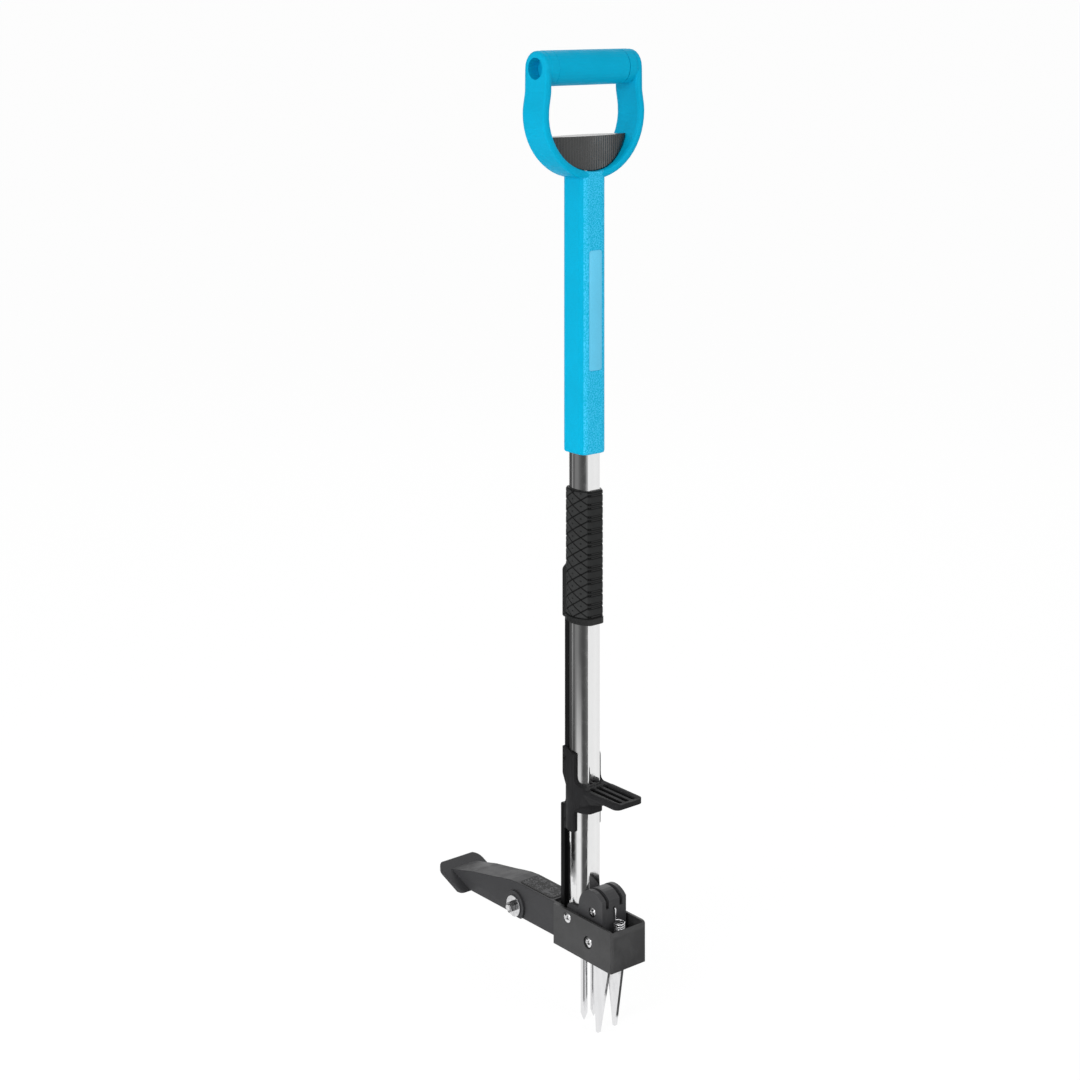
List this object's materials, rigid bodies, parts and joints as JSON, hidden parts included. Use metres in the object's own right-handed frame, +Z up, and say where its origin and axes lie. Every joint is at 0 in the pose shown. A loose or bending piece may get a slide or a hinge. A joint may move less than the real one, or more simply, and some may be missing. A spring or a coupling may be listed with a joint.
{
  "type": "stand-up weed puller",
  "caption": "Upright weed puller: D-handle on a telescopic tube, foot lever that closes flat claws on pointed tines, and a sliding foot step that pushes the weed off.",
  "frame": {"origin": "centre of the tool's footprint, at the level of the tine and claw tips", "axes": "+X points from the foot lever to the foot step, +Y is to the left when standing at the lever facing the step, +Z is up along the tube"},
  "size_m": [0.2894, 0.1366, 0.99],
  "materials": {
    "blue_plastic": "moulded, satin",
    "black_plastic": "moulded, satin",
    "grey_nylon": "moulded nylon, fine grain",
    "aluminium": "extruded, bright anodised",
    "black_rubber": "moulded, diamond grooves",
    "bright_steel": "zinc bright",
    "black_steel": "powder coated, satin",
    "speckled_pad": "gritty, mottled"
  },
  "bodies": {
    "base": {"base_housing": "black_steel", "pedal_arm": "grey_nylon", "tread_pad": "speckled_pad", "pivot_bolt": "bright_steel", "guide_bolt": "bright_steel", "arm_bolt": "bright_steel", "arm_nut": "bright_steel", "arm_washer_near": "bright_steel", "arm_washer_far": "bright_steel", "return_spring": "bright_steel"},
    "pole": {"main_tube": "aluminium", "tube_cap": "black_plastic", "tine_plug": "black_plastic", "rear_tine_left": "bright_steel", "rear_tine_right": "bright_steel", "claw_carrier": "grey_nylon", "carrier_rivet": "bright_steel", "carrier_pin": "bright_steel"},
    "front_claws": {"front_claw_left": "bright_steel", "front_claw_right": "bright_steel"},
    "ejector": {"eject_sleeve": "black_rubber", "upper_bar": "black_plastic", "foot_step": "grey_nylon", "lower_bar": "black_plastic", "ejector_plate": "bright_steel", "plate_rivet": "bright_steel", "lower_bar_rivet": "bright_steel", "upper_bar_rivet": "bright_steel"},
    "handle": {"handle_shell": "blue_plastic", "grip_sleeve": "blue_plastic", "lock_stem": "black_plastic"},
    "button": {"release_button": "black_plastic", "button_rod": "bright_steel", "button_spring": "bright_steel"},
    "lock": {"lock_shoe": "bright_steel"}
  },
  "joints": [
    {"name": "pole_tilt", "type": "hinge", "parent": "base", "child": "pole", "pos_m": [0.07395, 0, 0.1066], "axis": [0, -1, 0], "range_deg": [0, 20], "stiffness_Nm_per_rad": 6, "springref_deg": -6.88, "deforming": ["return_spring"]},
    {"name": "claw_turn", "type": "hinge", "parent": "pole", "child": "front_claws", "pos_m": [0.10475, 0, 0.1205], "axis": [0, -1, 0], "range_deg": [-9.6, 0]},
    {"name": "ejector_slide", "type": "slide", "parent": "pole", "child": "ejector", "axis": [0, 0, -1], "range_m": [0, 0.06]},
    {"name": "handle_slide", "type": "slide", "parent": "pole", "child": "handle", "axis": [0, 0, 1], "range_m": [0, 0.2]},
    {"name": "button_press", "type": "slide", "parent": "handle", "child": "button", "axis": [0, 0, -1], "range_m": [0, 0.005], "stiffness_N_per_m": 900, "springref_m": -0.004, "deforming": ["button_spring"]},
    {"name": "lock_draw", "type": "slide", "parent": "handle", "child": "lock", "axis": [0, -1, 0], "range_m": [0, 0.0017]}
  ],
  "couplings": [
    {"joint": "claw_turn", "follows": "pole_tilt", "ratio": -0.48},
    {"joint": "lock_draw", "follows": "button_press", "ratio": 0.33333}
  ]
}
